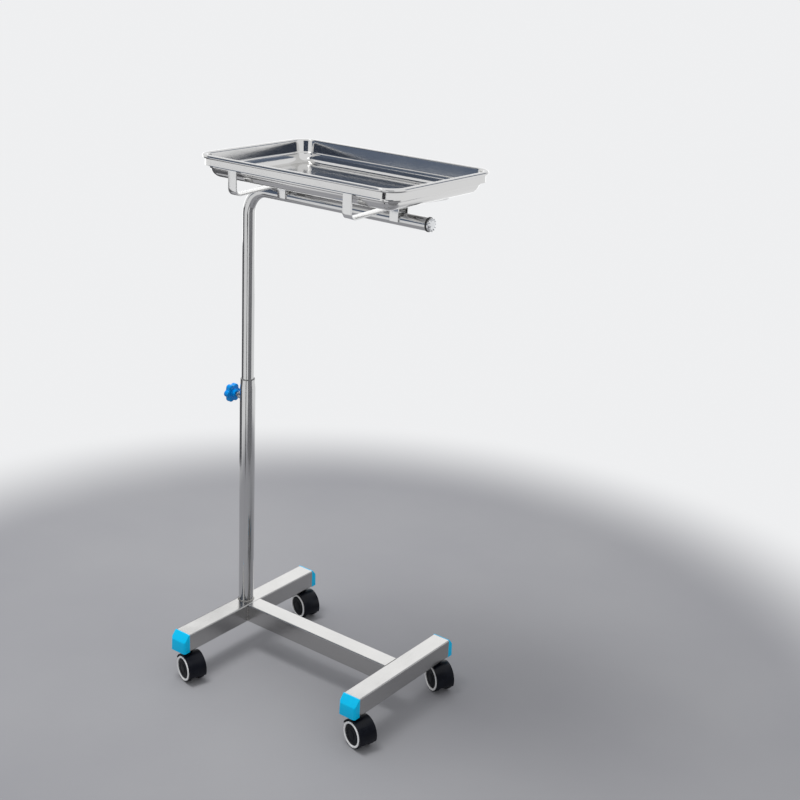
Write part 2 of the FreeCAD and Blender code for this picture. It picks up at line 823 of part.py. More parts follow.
# The origin is under the middle of the whole object's box, on the floor
whole = Part.makeCompound(list(pieces.values())).optimalBoundingBox()
shift = V(-round((whole.XMin + whole.XMax) / 2, 1), -round((whole.YMin + whole.YMax) / 2, 1), 0)
print("box", [round(v, 3) for v in (whole.XLength, whole.YLength, whole.ZLength)])
print("lowest point", round(whole.ZMin, 4))
print("column axis at", [round(v, 3) for v in shift])
print("leg top", leg_top, "column top", column_top, "arm", arm_z, "rim top", rim_top)

os.makedirs("parts", exist_ok=True)
for name, shape in pieces.items():
    shape.translate(shift)
    shape.exportStep("parts/" + name + ".step")
print(len(pieces), "pieces written")
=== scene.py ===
# %% [markdown]
# An instrument tray stand, dressed for a render
#
# The real object is a polished steel tray that lies on a bent tube, over an open-sided base on
# four casters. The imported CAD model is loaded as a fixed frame, which already has every part in
# its place. This lesson adds what solids leave out: the camera, a plain studio, the finishes,
# and pieces whose edges, bends, welds and threads are as soft or as fine as the real ones.

# %% Load the frame
import json
import math

import bmesh
import bpy
from mathutils import Matrix, Vector


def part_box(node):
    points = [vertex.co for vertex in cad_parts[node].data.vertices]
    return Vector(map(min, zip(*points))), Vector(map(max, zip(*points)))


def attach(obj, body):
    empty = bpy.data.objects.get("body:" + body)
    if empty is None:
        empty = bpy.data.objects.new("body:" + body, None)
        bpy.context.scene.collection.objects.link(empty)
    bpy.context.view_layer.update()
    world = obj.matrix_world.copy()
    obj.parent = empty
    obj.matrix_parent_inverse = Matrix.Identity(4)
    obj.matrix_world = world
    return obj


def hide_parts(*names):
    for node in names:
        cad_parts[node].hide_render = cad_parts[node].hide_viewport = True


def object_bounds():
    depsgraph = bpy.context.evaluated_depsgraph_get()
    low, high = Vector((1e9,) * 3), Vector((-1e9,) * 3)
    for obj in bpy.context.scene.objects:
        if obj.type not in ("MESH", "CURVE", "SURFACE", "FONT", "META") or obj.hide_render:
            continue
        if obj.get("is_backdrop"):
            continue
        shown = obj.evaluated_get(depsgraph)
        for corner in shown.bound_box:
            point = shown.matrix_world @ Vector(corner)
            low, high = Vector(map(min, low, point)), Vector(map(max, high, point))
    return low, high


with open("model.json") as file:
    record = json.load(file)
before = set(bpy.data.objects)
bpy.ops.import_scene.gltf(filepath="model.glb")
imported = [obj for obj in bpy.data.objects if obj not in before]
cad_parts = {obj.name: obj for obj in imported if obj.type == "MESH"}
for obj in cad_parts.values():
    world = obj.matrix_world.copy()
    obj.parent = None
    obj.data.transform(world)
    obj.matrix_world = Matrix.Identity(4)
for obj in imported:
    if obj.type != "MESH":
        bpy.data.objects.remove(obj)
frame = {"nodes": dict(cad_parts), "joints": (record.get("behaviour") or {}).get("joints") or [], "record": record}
cad_low, cad_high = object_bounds()
nodes = frame["nodes"]
corners = ("front_left", "rear_left", "front_right", "rear_right")
mm = 0.001


def new_object(name, data):
    """Makes an object and puts it in the scene."""
    made = bpy.data.objects.new(name, data)
    bpy.context.scene.collection.objects.link(made)
    return made



# %% [markdown]
# The camera
#
# A photograph fixes where its camera stood. These numbers come from fitting a perspective
# camera to the measured edges of the stand. It looks down about 20 degrees from the front
# right, leans nearly 3 degrees, and has a lens of about 60 mm on a 36 mm sensor. The picture
# is not shifted, so the same camera also works from other sides.

# %% Camera
camera_place = Vector((1.5553, -1.8776, 1.5045))
camera_yaw = math.radians(36.218)
camera_pitch = math.radians(19.813)
camera_roll = math.radians(2.816)
camera_lens = 59.48


def camera_axes():
    """Right, up and backward directions of the camera, as the columns of a rotation."""
    level_right = Vector((math.cos(camera_yaw), math.sin(camera_yaw), 0))
    ahead = Vector((-math.sin(camera_yaw), math.cos(camera_yaw), 0))
    forward = ahead * math.cos(camera_pitch) - Vector((0, 0, math.sin(camera_pitch)))
    level_up = level_right.cross(forward)
    right = level_right * math.cos(camera_roll) + level_up * math.sin(camera_roll)
    up = level_up * math.cos(camera_roll) - level_right * math.sin(camera_roll)
    return Matrix((right, up, -forward)).transposed()


camera = new_object("photo_camera", bpy.data.cameras.new("photo_camera"))
camera.data.lens = camera_lens
camera.matrix_world = Matrix.Translation(camera_place) @ camera_axes().to_4x4()
bpy.context.scene.camera = camera
print("camera at", [round(v, 3) for v in camera_place])

# %% [markdown]
# Materials from nodes
#
# Every finish is a Principled shader whose roughness, colour and bump come from noise that is
# read in Object coordinates, in metres. Image textures could hold the same detail, but noise
# needs no unwrapping and stays sharp at any distance. The helpers give short ways to add a
# texture and to join sockets, so that each finish below reads as a list of what the real
# surface has.

# %% Node helper
def add_node(tree, kind, inputs, output=0, **settings):
    """Adds a node, joins or sets its inputs, and returns one of its outputs."""
    node = tree.nodes.new(kind)
    for key, value in settings.items():
        setattr(node, key, value)
    for key, value in inputs.items():
        if isinstance(value, bpy.types.NodeSocket):
            tree.links.new(value, node.inputs[key])
        else:
            node.inputs[key].default_value = value
    return node.outputs[output]


# %% Material helper
class Finish:
    """A Principled material with short ways to add nodes to it."""

    def __init__(self, name, color, metallic, roughness):
        self.material = bpy.data.materials.new(name)
        self.material.use_nodes = True
        self.tree = self.material.node_tree
        self.shader = self.tree.nodes["Principled BSDF"]
        self.shader.inputs["Base Color"].default_value = (*color, 1)
        self.shader.inputs["Metallic"].default_value = metallic
        self.shader.inputs["Roughness"].default_value = roughness
        self.place = self.tree.nodes.new("ShaderNodeTexCoord").outputs["Object"]

    def noise(self, scale, detail=3.0, stretch=(1, 1, 1), turn=(0, 0, 0)):
        """Soft noise from about 0 to 1, finer along some axes than others."""
        mapping = {"Vector": self.place, "Scale": stretch, "Rotation": turn}
        place = add_node(self.tree, "ShaderNodeMapping", mapping)
        texture = {"Vector": place, "Scale": scale, "Detail": detail}
        return add_node(self.tree, "ShaderNodeTexNoise", texture, "Fac")

    def between(self, value, low, high, start=0.3, end=0.7):
        """Maps a span of noise onto a span of values."""
        spans = {"Value": value, "From Min": start, "From Max": end, "To Min": low, "To Max": high}
        return add_node(self.tree, "ShaderNodeMapRange", spans, "Result")

    def rough(self, value):
        self.tree.links.new(value, self.shader.inputs["Roughness"])

    def tint(self, factor, low, high):
        """A base colour that goes from one colour to another."""
        # a Mix node has sockets for every kind of data; 6, 7 and output 2 are its colours
        sockets = {0: factor, 6: (*low, 1), 7: (*high, 1)}
        color = add_node(self.tree, "ShaderNodeMix", sockets, 2, data_type="RGBA")
        self.tree.links.new(color, self.shader.inputs["Base Color"])

    def bump(self, height, distance):
        """Raises the surface by a height in metres, on top of any earlier bump."""
        normal = self.shader.inputs["Normal"]
        inputs = {"Height": height, "Distance": distance}
        if normal.is_linked:
            inputs["Normal"] = normal.links[0].from_socket
        self.tree.links.new(add_node(self.tree, "ShaderNodeBump", inputs), normal)


# %% [markdown]
# Polished steel
#
# Stainless tube is polished along its length with a belt, which leaves hairlines that run with
# the tube, and the tray is buffed in every direction. Both carry faint finger smudges and are
# never quite flat, so reflections wander a little. The hairlines are noise that is very fine
# across the tube and long along it. The wander is a wide and shallow bump. Screws, welds and the
# arm's plug are small, so theirs is only a fine grain with duller patches.

# %% Steel tubes and bars
hairline_height = 0.012 * mm
wander_height = 0.3 * mm


def darker(tone, share):
    return tuple(share * channel for channel in tone)


def polished(name, tone, roughness, along):
    """Belt-polished stainless steel whose hairlines run along one axis."""
    finish = Finish(name, tone, 1.0, roughness)
    hairline_scale = tuple(40 if axis == along else 1400 for axis in "XYZ")
    hairlines = finish.noise(1.0, 2.0, hairline_scale)
    smudges = finish.noise(11.0, 5.0)
    finish.rough(finish.between(smudges, roughness * 0.75, roughness * 1.6))
    finish.tint(finish.between(hairlines, 0.0, 1.0), darker(tone, 0.93), tone)
    finish.bump(hairlines, hairline_height)
    finish.bump(finish.noise(16.0, 1.0), wander_height)
    return finish.material


tube_tone = (0.53, 0.525, 0.515)
tube_x = polished("steel_cross_tube", tube_tone, 0.17, "X")
tube_y = polished("steel_leg_tube", tube_tone, 0.17, "Y")
tube_z = polished("steel_column_tube", (0.68, 0.68, 0.675), 0.08, "Z")
strap_steel = polished("steel_strap", (0.80, 0.80, 0.795), 0.13, "Y")
print("tubes and bars:", tube_x.name, tube_y.name, tube_z.name, strap_steel.name)

# %% Steel tray
scratch_depth = 0.006 * mm
scratch_turns = (0.35, 1.9, 2.7)


def buffed_sheet():
    """The tray's mirror polish: buffing haze and a few fine scratches that cross each other."""
    finish = Finish("steel_tray", (0.74, 0.735, 0.725), 1.0, 0.1)
    haze = finish.noise(7.0, 6.0)
    finish.rough(finish.between(haze, 0.06, 0.15))
    for turn in scratch_turns:
        line = finish.noise(1.0, 1.0, (900, 14, 900), (0, 0, turn))
        finish.bump(finish.between(line, 0.0, 1.0, 0.66, 0.70), -scratch_depth)
    finish.bump(finish.noise(9.0, 1.0), wander_height)
    return finish.material


tray_steel = buffed_sheet()
print("tray:", tray_steel.name)

# %% Plated and welded metal
plating_grain = 0.01 * mm


def plated(name, tone, roughness):
    """A plated or welded skin: an even fine grain with duller patches."""
    finish = Finish(name, tone, 1.0, roughness)
    finish.rough(finish.between(finish.noise(220.0), roughness * 0.7, roughness * 1.5))
    finish.tint(finish.between(finish.noise(90.0), 0.0, 1.0), darker(tone, 0.8), tone)
    finish.bump(finish.noise(2500.0, 1.0), plating_grain)
    return finish.material


zinc = plated("zinc_fastener", (0.60, 0.61, 0.62), 0.25)
weld_steel = plated("steel_weld", (0.45, 0.44, 0.42), 0.22)
plug_bright = plated("chromed_plug", (0.90, 0.91, 0.92), 0.12)
print("plated and welded:", zinc.name, weld_steel.name, plug_bright.name)

# %% [markdown]
# Plastics
#
# The caps and the knob are glossy blue mouldings, the casters satin black ones with white trim.
# Moulded plastic has an almost invisible grain, and its gloss changes slowly across a face where
# it sank a little in the mould. Handling and dust leave patches of a slightly different tone.

# %% Plastic finishes
fine_grain = 0.012 * mm
tread_grain = 0.03 * mm
sink_height = 0.1 * mm


def moulded(name, tone, worn, roughness, grain=fine_grain, gloss=0.5):
    """Moulded plastic that goes from its clean tone to a worn one in soft patches."""
    finish = Finish(name, tone, 0.0, roughness)
    finish.shader.inputs["Specular IOR Level"].default_value = gloss
    finish.rough(finish.between(finish.noise(28.0), roughness * 0.8, roughness * 1.3))
    finish.tint(finish.between(finish.noise(60.0, 6.0), 0.0, 1.0, 0.5, 0.8), tone, worn)
    finish.bump(finish.noise(1800.0, 2.0), grain)
    finish.bump(finish.noise(30.0, 1.0), sink_height)
    return finish.material


cap_blue = moulded("plastic_cap_blue", (0.0, 0.60, 1.0), (0.0, 0.64, 0.98), 0.30, gloss=0.2)
knob_blue = moulded("plastic_knob_blue", (0.0, 0.30, 0.84), (0.0, 0.36, 0.86), 0.26, gloss=0.25)
# the hood and tread are black plastic; the blue in their colours below is a painted bluish sheen
hood_black_and_sheen = moulded(
    "plastic_hood_black", (0.0035, 0.0045, 0.009), (0.008, 0.010, 0.016), 0.30, gloss=0.2
)
tread_black_and_sheen = moulded(
    "plastic_tread_black", (0.004, 0.005, 0.008), (0.012, 0.013, 0.016), 0.42, tread_grain, 0.15
)
ring_white = moulded("plastic_ring_white", (0.95, 0.95, 0.945), (0.88, 0.87, 0.86), 0.3)
bearing_dark = moulded("plastic_bearing_dark", (0.03, 0.03, 0.033), (0.07, 0.07, 0.07), 0.4)
bush_grey = moulded("plastic_bush_grey", (0.20, 0.20, 0.20), (0.30, 0.30, 0.29), 0.3)
print("plastics:", len([m for m in bpy.data.materials if m.name.startswith("plastic_")]))


# %% Give CAD nodes their finish
def dress(material, *names):
    for name in names:
        nodes[name].data.materials.clear()
        nodes[name].data.materials.append(material)


dress(tube_y, "column_leg_tube", "far_leg_tube")
dress(tube_x, "cross_tube")
dress(zinc, "stem_nuts", "foot_screw", *("caster_axle_" + c for c in corners))
dress(zinc, *("caster_stem_" + c for c in corners))
dress(bearing_dark, "foot_ring", "foot_plug", "clamp_pad")
dress(bush_grey, "guide_bush")
print("base tubes dressed")

# %% [markdown]
# Making new pieces
#
# A new piece takes the place of a CAD node, so it needs the same body and a material slot, and
# the node that it stands for is hidden. One function does all of that. Its mesh keeps its place
# in its vertices, and the object itself stays at the origin.

# %% Piece helper
body_of = {n: b for b, group in frame["record"]["behaviour"]["bodies"].items() for n in group}


def add_piece(name, mesh, stands_for, material):
    """Puts a finished mesh in the scene in place of the CAD nodes that it stands for."""
    mesh.materials.clear()
    mesh.materials.append(material)
    piece = new_object(name, mesh)
    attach(piece, body_of[stands_for[0]])
    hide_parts(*stands_for)


def clean(work, name, smooth_degrees=40):
    """Turns a bmesh into a mesh with outward faces, smooth except across sharp edges."""
    bmesh.ops.remove_doubles(work, verts=work.verts, dist=1e-6)
    bmesh.ops.recalc_face_normals(work, faces=work.faces)
    for face in work.faces:
        face.smooth = True
    limit = math.radians(smooth_degrees)
    for edge in work.edges:
        edge.smooth = len(edge.link_faces) == 2 and edge.calc_face_angle() < limit
    mesh = bpy.data.meshes.new(name)
    work.to_mesh(mesh)
    work.free()
    return mesh


# %% [markdown]
# Rounded outlines and turned bodies
#
# Wheels, rings, plugs and the column's drawn-in nose are turned shapes: half a section spun
# round an axis. Real edges are never perfectly sharp, so each corner of a section is first
# replaced with a small arc. A Screw modifier could do the spinning. Writing the rings of
# points directly keeps the poles clean and the axis free.

# %% Outline helpers
def circle_points(radius, steps):
    """(x, y) points round a whole circle."""
    turns = [math.tau * k / steps for k in range(steps)]
    return [(radius * math.cos(t), radius * math.sin(t)) for t in turns]


def rounded(points, radius, steps=4, closed=False):
    """The same outline with each inner corner turned into an arc of up to that radius."""
    points = [Vector(p) for p in points]
    count = len(points)
    result = []
    for k, point in enumerate(points):
        if not closed and k in (0, count - 1):
            result.append(point)
            continue
        before, after = points[k - 1] - point, points[(k + 1) % count] - point
        limit = 0.45 * min(before.length, after.length)
        before.normalize()
        after.normalize()
        half = before.angle(after) / 2
        if half > math.radians(89):
            result.append(point)
            continue
        reach = min(radius / math.tan(half), limit)
        arc_radius = reach * math.tan(half)
        centre = point + (before + after).normalized() * (arc_radius / math.sin(half))
        start = (point + before * reach - centre).normalized()
        end = (point + after * reach - centre).normalized()
        for step in range(steps + 1):
            result.append(centre + start.slerp(end, step / steps) * arc_radius)
    return result


# %% Turning helper
def turned(name, profile, start, axis, steps, closed=False):
    """A mesh spun from (radius, height) points about an axis from a start point."""
    start, axis = Vector(start), Vector(axis).normalized()
    side = axis.orthogonal().normalized()
    other = axis.cross(side)
    work = bmesh.new()
    rings = []
    for radius, height in profile:
        centre = start + axis * height
        if radius < 1e-7:
            rings.append([work.verts.new(centre)] * steps)
            continue
        spots = [centre + side * x + other * y for x, y in circle_points(radius, steps)]
        rings.append([work.verts.new(spot) for spot in spots])
    pairs = list(zip(rings, rings[1:] + rings[:1]))
    for low, high in pairs if closed else pairs[:-1]:
        for k in range(steps):
            j = (k + 1) % steps
            quad = (low[k], low[j], high[j], high[k])
            face = tuple(dict.fromkeys(quad))  # a triangle at a pole
            if len(face) > 2:
                work.faces.new(face)
    return clean(work, name)


# %% [markdown]
# Recipes in Geometry Nodes
#
# What follows a path or repeats is made by a recipe of Geometry Nodes: the bent mast, the
# straps, the tray, the weld beads, the screw thread and the ribs of the arm's plug. A recipe
# has named sizes, so the same one serves several pieces. It is run on a small starting mesh,
# which is often just a line, and its result is kept as a plain mesh.

# %% Recipe helper
class Recipe:
    """A Geometry Nodes tree with named sizes and short ways to add nodes."""

    def __init__(self, name, **sizes):
        self.tree = bpy.data.node_groups.new(name, "GeometryNodeTree")
        face = self.tree.interface
        face.new_socket("Geometry", in_out="INPUT", socket_type="NodeSocketGeometry")
        for key, value in sizes.items():
            kind = "NodeSocketInt" if isinstance(value, int) else "NodeSocketFloat"
            face.new_socket(key, in_out="INPUT", socket_type=kind).default_value = value
        face.new_socket("Finish", in_out="INPUT", socket_type="NodeSocketMaterial")
        face.new_socket("Geometry", in_out="OUTPUT", socket_type="NodeSocketGeometry")
        self.given = self.tree.nodes.new("NodeGroupInput").outputs

    def add(self, kind, inputs, output=0, **settings):
        return add_node(self.tree, kind, inputs, output, **settings)

    def calculate(self, operation, first, second=0.0):
        return self.add("ShaderNodeMath", {0: first, 1: second}, operation=operation)

    def end(self, geometry):
        smooth = self.add("GeometryNodeSetShadeSmooth", {"Geometry": geometry})
        real = self.add("GeometryNodeRealizeInstances", {"Geometry": smooth})
        finished = {"Geometry": real, "Material": self.given["Finish"]}
        done = self.add("GeometryNodeSetMaterial", finished)
        self.tree.links.new(done, self.tree.nodes.new("NodeGroupOutput").inputs[0])
        print("recipe", self.tree.name, "has", len(self.tree.nodes), "nodes")

    def line(self):
        """The starting line of points, as a curve."""
        return self.add("GeometryNodeMeshToCurve", {"Mesh": self.given["Geometry"]})

    def sweep(self, path, section, caps=True, **more):
        """Ends the recipe with a section that is swept along a path."""
        inputs = {"Curve": path, "Profile Curve": section, "Fill Caps": caps, **more}
        self.end(self.add("GeometryNodeCurveToMesh", inputs))


def grown(recipe, points, finish, closed=False, **sizes):
    """Runs a recipe on a line of points and returns the result as a plain mesh."""
    line = bpy.data.meshes.new("line")
    count = len(points)
    edges = [(k, (k + 1) % count) for k in range(count if closed else count - 1)]
    line.from_pydata([tuple(p) for p in points], edges, [])
    holder = new_object("holder", line)
    modifier = holder.modifiers.new("recipe", "NODES")
    modifier.node_group = recipe.tree
    for item in recipe.tree.interface.items_tree:
        if item.in_out == "INPUT" and item.name in sizes:
            modifier[item.identifier] = sizes[item.name]
        if item.name == "Finish":
            modifier[item.identifier] = finish
    graph = bpy.context.evaluated_depsgraph_get()
    mesh = bpy.data.meshes.new_from_object(holder.evaluated_get(graph))
    bpy.data.objects.remove(holder)
    return mesh


def reworked(mesh):
    """A bmesh of a finished mesh, ready for cleaning."""
    work = bmesh.new()
    work.from_mesh(mesh)
    return work


# %% [markdown]
# The column
#
# The lower tube is 32 mm across and drawn in to 29 mm at its top, where a plastic bush guides
# the mast. In the solids the drawn-in nose is a plain cone. A real one is rolled, so it flows
# from one width to the other, and its rim is turned over a little.

# %% Column
column_low, column_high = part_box("column_tube")
column_x, column_y = ((column_low + column_high) / 2).xy
column_radius = (column_high.x - column_low.x) / 2
column_length = column_high.z - column_low.z
nose_radius = 14.6 * mm
nose_start = 20 * mm
nose_end = 8 * mm
nose_bend = 14 * mm
rim_edge = 0.4 * mm
wall = 1.2 * mm
seen_inside = 12 * mm
outer = [
    (column_radius, 0),
    (column_radius, column_length - nose_start),
    (nose_radius, column_length - nose_end),
    (nose_radius, column_length),
    (nose_radius - wall, column_length),
    (nose_radius - wall, column_length - seen_inside),
]
profile = rounded(outer[:4], nose_bend, 8) + rounded(outer[2:], rim_edge)[1:]
column_foot = (column_x, column_y, column_low.z)
column_mesh = turned("column_turned", profile, column_foot, (0, 0, 1), 96)
add_piece("column_turned", column_mesh, ["column_tube"], tube_z)
print("column:", round(column_length / mm, 1), "mm long, radius", round(column_radius / mm, 2))

# %% [markdown]
# The mast
#
# One 25 mm tube makes both the upper column and the arm, with a bend of 50 mm between them. A
# round section swept along its centre line is the direct way to make it. The recipe turns a
# line of points into a curve and gives it a circle as its section.

# %% Mast
tube_recipe = Recipe("bent_tube", Radius=12.5 * mm, Sides=64)
section_sizes = {"Resolution": tube_recipe.given["Sides"], "Radius": tube_recipe.given["Radius"]}
section = tube_recipe.add("GeometryNodeCurvePrimitiveCircle", section_sizes)
tube_recipe.sweep(tube_recipe.line(), section)

mast_low, mast_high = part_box("mast_tube")
mast_radius = (mast_high.y - mast_low.y) / 2
arm_z = mast_high.z - mast_radius
bend_radius = 50 * mm
mast_corner = (column_x, column_y, arm_z)
mast_points = [(column_x, column_y, mast_low.z), mast_corner, (mast_high.x, column_y, arm_z)]
mast_line = rounded(mast_points, bend_radius, 24)
mast_mesh = grown(tube_recipe, mast_line, tube_z, Radius=mast_radius)
mast_mesh = clean(reworked(mast_mesh), "mast_swept")
add_piece("mast_swept", mast_mesh, ["mast_tube"], tube_z)
print("mast: foot", round(mast_low.z, 4), "arm axis", round(arm_z, 4))

# %% [markdown]
# The tray
#
# The tray is one drawn sheet. Going inwards from its apron it has a rolled rim, a steep wall, a
# narrow ledge, a rounded bowl and a flat floor, and the same section runs all the way round a
# rectangle with round corners. Such a shape follows a rule, so a recipe sweeps the section along
# that rectangle. A point's first number is how far out it is, and its second how far down.

# %% Tray recipe
tray_recipe = Recipe("drawn_tray", Length=466 * mm, Width=310 * mm, Corner=40 * mm, Steps=20)
given = tray_recipe.given
outline_sizes = {"Width": given["Length"], "Height": given["Width"]}
path = tray_recipe.add("GeometryNodeCurvePrimitiveQuadrilateral", outline_sizes)
corner_sizes = {"Curve": path, "Radius": given["Corner"], "Count": given["Steps"]}
path = tray_recipe.add("GeometryNodeFilletCurve", corner_sizes, mode="POLY")
path = tray_recipe.add("GeometryNodeSetCurveNormal", {"Curve": path}, mode="Z_UP")
tray_recipe.sweep(path, tray_recipe.line(), caps=False)

# %% Tray section
sheet = 1.0 * mm
tray_low, tray_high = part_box("tray")
tray_size = tray_high - tray_low
apron = 20.0 * mm
apron_flare = 0.3 * mm
apron_lip = 1.0 * mm
apron_bend = 2.0 * mm
bead = 3.5 * mm
bead_proud = 5.0 * mm
rim_width = 11.0 * mm
rim_bend = 5.0 * mm
ledge_inset = rim_width + 2.5 * mm
ledge_end = ledge_inset + 3.0 * mm
ledge_drop = 25.5 * mm
ledge_fall = 1.5 * mm
ledge_bend = 2.0 * mm
bowl_width = 21.0 * mm
floor_margin = 1.8 * mm
floor_drop = tray_size.z - sheet
corner_radius = 40.0 * mm


def bead_arc(steps=16):
    """The rolled edge, from the apron's neck up to the flat of the rim."""
    neck = math.acos((bead - bead_proud) / bead)
    turns = [-neck + (math.pi / 2 + neck) * k / steps for k in range(steps + 1)]
    return [(-(bead - bead * math.cos(t)), bead - bead * math.sin(t)) for t in turns]


def bowl_arc(steps=14):
    """The bowl below the ledge: an arc that leaves the ledge steeply and meets the floor flat."""
    fall = floor_drop - ledge_drop
    radius = (bowl_width**2 + fall**2) / (2 * fall)
    whole = math.asin(bowl_width / radius)
    turns = [whole * (1 - k / steps) for k in range(1, steps + 1)]
    floor_start = ledge_end + bowl_width
    arc = []
    for t in turns:
        arc.append((radius * math.sin(t) - floor_start, floor_drop - radius * (1 - math.cos(t))))
    return arc + [(-floor_start - floor_margin, floor_drop)]


def tray_section():
    """The upper face's line and, one sheet thickness inside it, the lower face's line."""
    bowl = bowl_arc()
    steep = [(-bead, 0), (-rim_width, 0), (-ledge_inset, ledge_drop - ledge_fall)]
    steep += [(-ledge_end, ledge_drop), bowl[0]]
    rim_turn = rounded(steep[0:3], rim_bend, 8)[1:-1]
    ledge_top = rounded(steep[1:4], ledge_bend, 5)[1:-1]
    ledge_foot = rounded(steep[2:5], ledge_bend, 5)[1:-1]
    lip = (apron_flare - bead_proud, apron)
    foot = rounded([lip, (-bead_proud, apron - apron_lip), (-bead_proud, 2 * bead)], apron_bend)
    upper = foot[:-1] + [Vector(p) for p in bead_arc()]
    upper += rim_turn + ledge_top + ledge_foot + [Vector(p) for p in bowl]
    lower = []
    for k, point in enumerate(upper):
        along = upper[min(k + 1, len(upper) - 1)] - upper[max(k - 1, 0)]
        across = Vector((-along.y, along.x)).normalized()
        lower.append(point - across * sheet)
    return upper, lower


upper_line, lower_line = tray_section()
print("section points:", len(upper_line), "on each face of the sheet")

# %% [markdown]
# The sweep leaves the floor open, because a section can't close over the middle. The narrow
# faces that join the two sides of the sheet there are taken out, and each side gets its floor as
# one flat polygon. The section's last points lie a little inside the floor's bend, which keeps
# that polygon's shading flat.

# %% Tray
def closed_tray():
    """The swept wall with both faces of its floor filled in."""
    section_points = [(p.x, p.y, 0) for p in upper_line + lower_line[::-1]]
    swept_sizes = {"Length": tray_size.x, "Width": tray_size.y, "Corner": corner_radius}
    work = reworked(grown(tray_recipe, section_points, tray_steel, True, **swept_sizes))
    ends = (tray_high.z - upper_line[-1].y, tray_high.z - lower_line[-1].y)
    shift = Vector((*((tray_low + tray_high) / 2).xy, tray_high.z))
    bmesh.ops.translate(work, verts=work.verts, vec=shift)
    near = 0.01 * mm
    across = []
    for face in work.faces:
        heights = [v.co.z for v in face.verts]
        at_ends = all(min(abs(z - end) for end in ends) < near for z in heights)
        if at_ends and max(heights) - min(heights) > sheet / 2:
            across.append(face)
    bmesh.ops.delete(work, geom=across, context="FACES")
    edges = [e for e in work.edges if len(e.link_faces) == 1]
    bmesh.ops.holes_fill(work, edges=edges)
    return clean(work, "tray_drawn", 50)


tray_mesh = closed_tray()
add_piece("tray_drawn", tray_mesh, ["tray"], tray_steel)
print("tray faces:", len(tray_mesh.polygons))

# %% [markdown]
# The straps and saddles
#
# Two flat bars lie across the arm and turn up at both ends into hooks that hold the tray's
# rim. Bar stock has slightly rounded edges that catch a thin line of light. The recipe sweeps a
# rounded rectangle along the bar's middle line. Under each strap a saddle straddles the arm. Its
# solid already has the right shape, so a copy of it gets a narrow bevel instead, and so do the
# base's end caps and the boss of the clamp screw.

# %% Straps
bar_recipe = Recipe("flat_bar", Width=20 * mm, Thickness=3 * mm, Edge=0.7 * mm)
bar_sizes = {"Width": bar_recipe.given["Width"], "Height": bar_recipe.given["Thickness"]}
section = bar_recipe.add("GeometryNodeCurvePrimitiveQuadrilateral", bar_sizes)
edge_sizes = {"Curve": section, "Radius": bar_recipe.given["Edge"], "Count": 3}
section = bar_recipe.add("GeometryNodeFilletCurve", edge_sizes, mode="POLY")
sideways = {"Curve": bar_recipe.line(), "Normal": (1, 0, 0)}
path = bar_recipe.add("GeometryNodeSetCurveNormal", sideways, mode="FREE")
bar_recipe.sweep(path, section)

bar_thickness = 3.0 * mm
bar_bend = 12.0 * mm
bar_flat = 18.0 * mm
bar_dip = 5.5 * mm
for side in ("left", "right"):
    low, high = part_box("strap_" + side)
    half = bar_thickness / 2
    x = (low.x + high.x) / 2
    hook_y = low.y + half
    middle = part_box("saddle_" + side)[1].z + half
    front = [(x, hook_y, high.z), (x, hook_y, middle - bar_dip), (x, column_y - bar_flat, middle)]
    rear = [(x, 2 * column_y - y, z) for x, y, z in front[::-1]]
    bar_line = rounded(front + rear, bar_bend + half, 10)
    bar_stock = {"Width": high.x - low.x, "Thickness": bar_thickness}
    bar_mesh = grown(bar_recipe, bar_line, strap_steel, **bar_stock)
    bar_mesh = clean(reworked(bar_mesh), "strap_bent_" + side)
    add_piece("strap_bent_" + side, bar_mesh, ["strap_" + side], strap_steel)
print("strap:", len(bar_mesh.polygons), "faces")


# %% Softened copies of solids
def softened(name, node, width, material):
    """A copy of a CAD node's mesh with its sharp edges bevelled, in the node's place."""
    flat, sharp = math.radians(1), math.radians(35)
    work = reworked(nodes[node].data)
    bmesh.ops.remove_doubles(work, verts=work.verts, dist=0.002 * mm)
    bmesh.ops.dissolve_limit(work, angle_limit=flat, verts=work.verts, edges=work.edges)
    joined = [e for e in work.edges if len(e.link_faces) == 2]
    edges = [e for e in joined if e.calc_face_angle() > sharp]
    shape = {"offset": width, "segments": 3, "profile": 0.5, "clamp_overlap": True}
    bmesh.ops.bevel(work, geom=edges, affect="EDGES", **shape)
    add_piece(name, clean(work, name, 50), [node], material)


for side in ("left", "right"):
    softened("saddle_soft_" + side, "saddle_" + side, 0.5 * mm, strap_steel)
for corner in corners:
    softened("cap_soft_" + corner, "end_cap_" + corner, 0.8 * mm, cap_blue)
softened("boss_soft", "clamp_boss", 0.6 * mm, zinc)
print("softened copies:", len(corners) + 3)

# %% [markdown]
# The knob and its screw
#
# The hand knob has six round lobes with round valleys between them. Its outline is a chain of
# arcs, and moving it inwards only changes their radii, so the soft edge is a stack of outlines
# that shrink as they near each face. A hub joins it to the screw, and its outer face has a
# shallow recess.

# %% Knob outline
clamp_low, clamp_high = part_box("clamp_knob")
clamp_z = (clamp_low.z + clamp_high.z) / 2
lobes = 6
lobe_radius = 7.0 * mm
valley_radius = 5.0 * mm
knob_radius = 20.0 * mm
arc_steps = 8


def knob_arc(centre, radius, angles):
    return [(centre[0] + radius * math.cos(a), centre[1] + radius * math.sin(a)) for a in angles]


